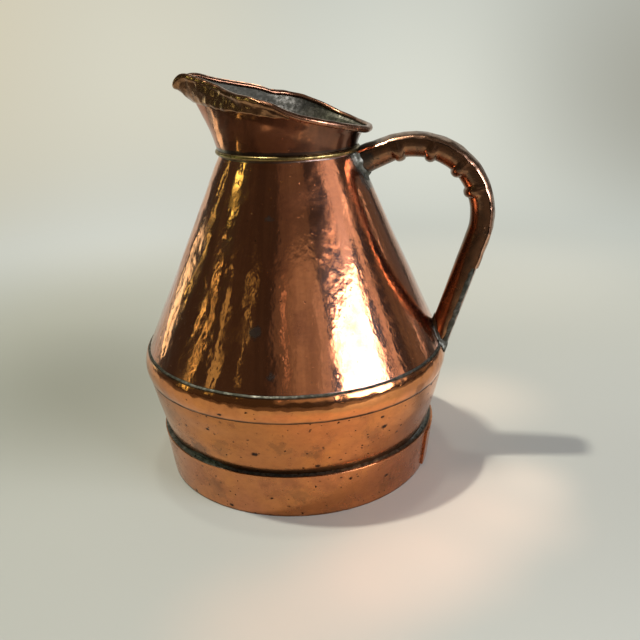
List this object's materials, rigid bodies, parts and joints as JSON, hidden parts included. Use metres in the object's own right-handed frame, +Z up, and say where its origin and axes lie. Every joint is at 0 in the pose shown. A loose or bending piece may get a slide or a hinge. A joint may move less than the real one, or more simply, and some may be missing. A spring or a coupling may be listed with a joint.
{
  "type": "copper jug",
  "caption": "Hand-made copper measuring jug with a conical body, flared foot band, brass-ringed neck, drawn spout and hollow strap handle with finger ridges.",
  "frame": {"origin": "centre of the foot on the floor", "axes": "+Z up along the jug's axis, +X towards the handle, -X towards the spout"},
  "size_m": [0.2954, 0.2596, 0.3297],
  "materials": {
    "cone_copper": "polished, patinated copper sheet",
    "body_copper": "satin copper sheet",
    "foot_copper": "satin copper strip",
    "neck_copper": "polished copper sheet, dark patina",
    "lip_copper": "hammered copper strip, brown patina",
    "handle_copper": "worn copper sheet, dark brown patina",
    "strap_copper": "worn copper strap, dull tan patina",
    "ring_brass": "worn brass wire",
    "solder": "dull grey lead-tin solder",
    "tinned_copper": "dull tinned copper",
    "iron_wire": "black iron wire"
  },
  "bodies": {
    "root": {"base_plate": "tinned_copper", "base_solder": "solder", "lower_body": "body_copper", "foot_band": "foot_copper", "foot_lap_plate": "foot_copper", "foot_rivets": "foot_copper", "foot_solder": "solder", "shoulder_band": "body_copper", "shoulder_solder": "solder", "cone_body": "cone_copper", "neck_ring": "ring_brass", "neck_solder": "solder", "neck_collar": "neck_copper", "rim_wire": "iron_wire", "lip_band": "lip_copper", "handle_channel": "handle_copper", "handle_back": "handle_copper", "handle_strap": "strap_copper", "handle_top_solder": "solder", "handle_foot_solder": "solder", "handle_seam_solder": "solder"}
  },
  "joints": []
}
